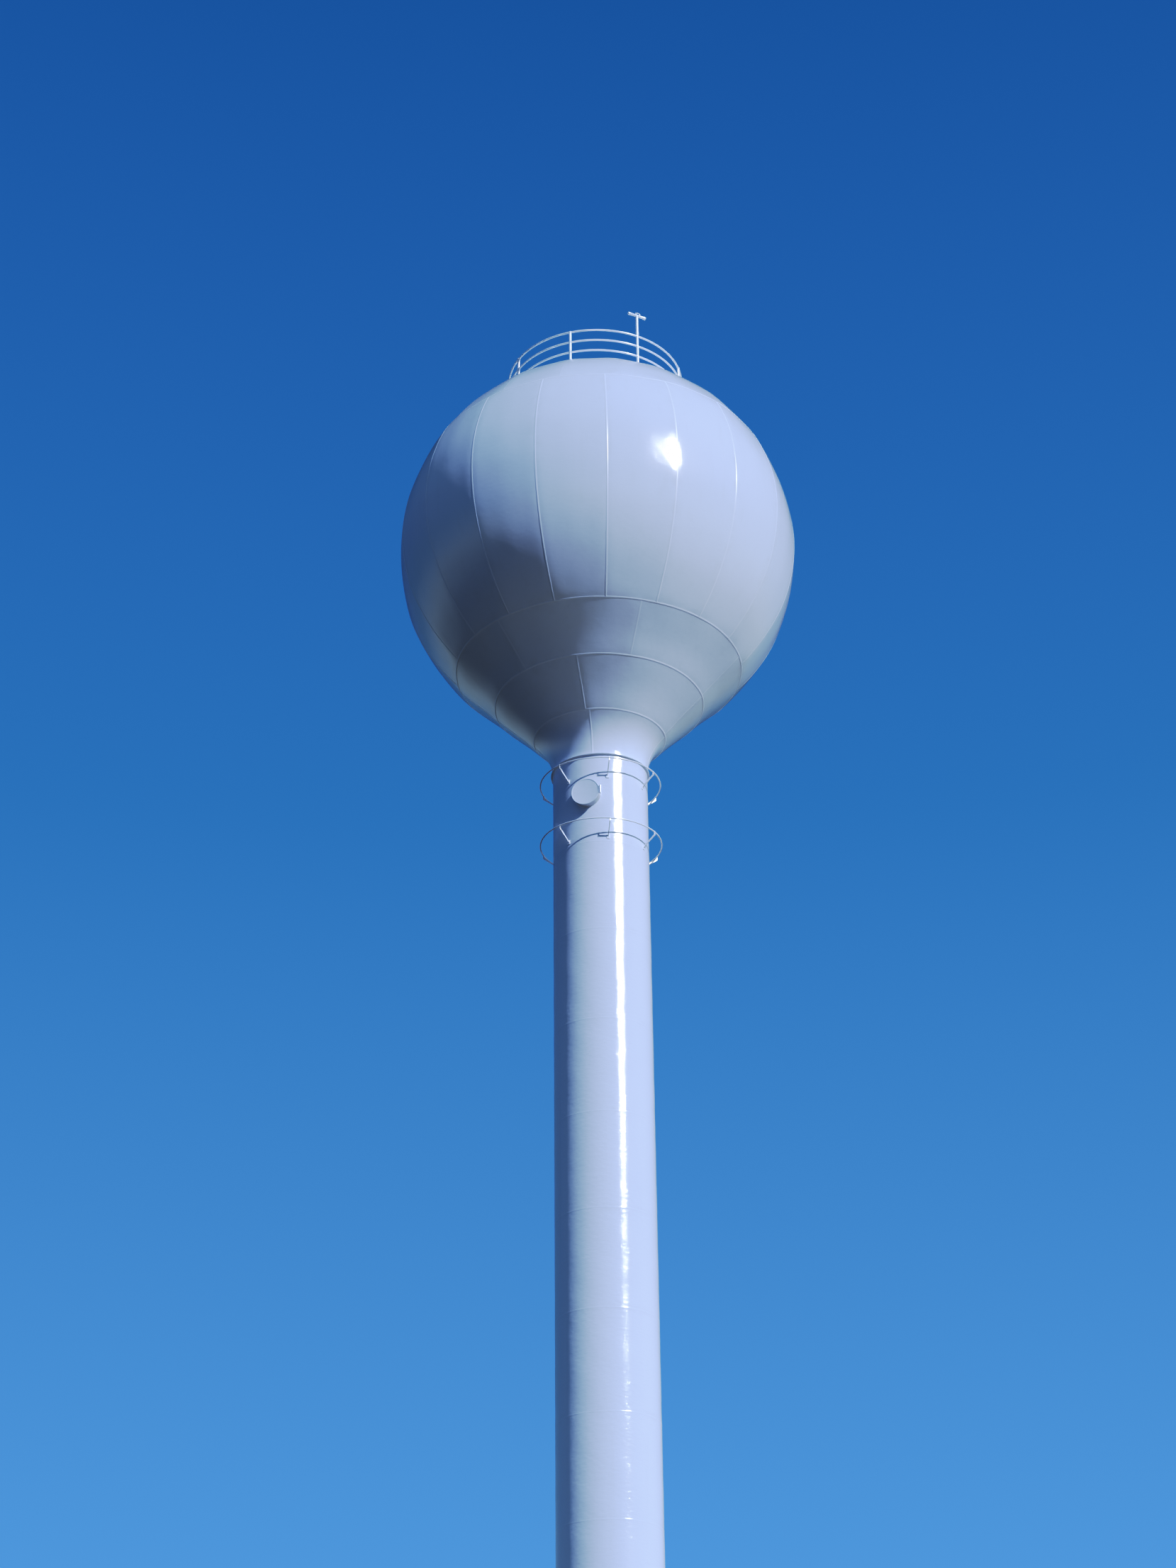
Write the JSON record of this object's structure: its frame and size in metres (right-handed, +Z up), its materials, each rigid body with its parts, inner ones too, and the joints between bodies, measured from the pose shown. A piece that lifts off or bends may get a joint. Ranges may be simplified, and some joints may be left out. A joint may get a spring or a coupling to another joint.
{
  "type": "water tower scale model",
  "caption": "Model at 1:10 of an elevated water tower: a welded steel sphere on one slender column that flares to a round base, with a roof rail, a mast and rigging rings.",
  "frame": {"origin": "on the column's axis, at the underside of the base ring", "axes": "+Z up along the column's axis, -Y towards the door, +X to the right of someone who faces the door"},
  "size_m": [1.0714, 1.07, 5.023],
  "materials": {
    "shell_paint": "gloss white paint over welded plate",
    "trim_paint": "gloss white paint over bar, pipe and plate",
    "door_paint": "semi-gloss white paint"
  },
  "bodies": {
    "root": {"tank_gore_01": "shell_paint", "tank_gore_02": "shell_paint", "tank_gore_03": "shell_paint", "tank_gore_04": "shell_paint", "tank_gore_05": "shell_paint", "tank_gore_06": "shell_paint", "tank_gore_07": "shell_paint", "tank_gore_08": "shell_paint", "tank_gore_09": "shell_paint", "tank_gore_10": "shell_paint", "tank_gore_11": "shell_paint", "tank_gore_12": "shell_paint", "tank_gore_13": "shell_paint", "tank_gore_14": "shell_paint", "tank_gore_15": "shell_paint", "tank_gore_16": "shell_paint", "tank_gore_17": "shell_paint", "tank_gore_18": "shell_paint", "cone_plate_01": "shell_paint", "cone_plate_02": "shell_paint", "cone_plate_03": "shell_paint", "cone_plate_04": "shell_paint", "cone_plate_05": "shell_paint", "cone_plate_06": "shell_paint", "funnel_plate_01": "shell_paint", "funnel_plate_02": "shell_paint", "funnel_plate_03": "shell_paint", "funnel_plate_04": "shell_paint", "knuckle_plate_01": "shell_paint", "knuckle_plate_02": "shell_paint", "knuckle_plate_03": "shell_paint", "knuckle_plate_04": "shell_paint", "crown_cap": "shell_paint", "tank_floor": "shell_paint", "column_section_1": "shell_paint", "column_section_2": "shell_paint", "column_section_3": "shell_paint", "column_section_4": "shell_paint", "bell_upper": "shell_paint", "bell_lower": "shell_paint", "base_ring": "trim_paint", "manhole_neck": "trim_paint", "manhole_cover": "trim_paint", "rigging_ring_upper": "trim_paint", "rigging_ring_lower": "trim_paint", "guard_rail": "trim_paint", "mast": "trim_paint", "roof_vent": "trim_paint", "roof_hatch": "trim_paint", "door_surround": "trim_paint", "door": "door_paint"}
  },
  "joints": []
}
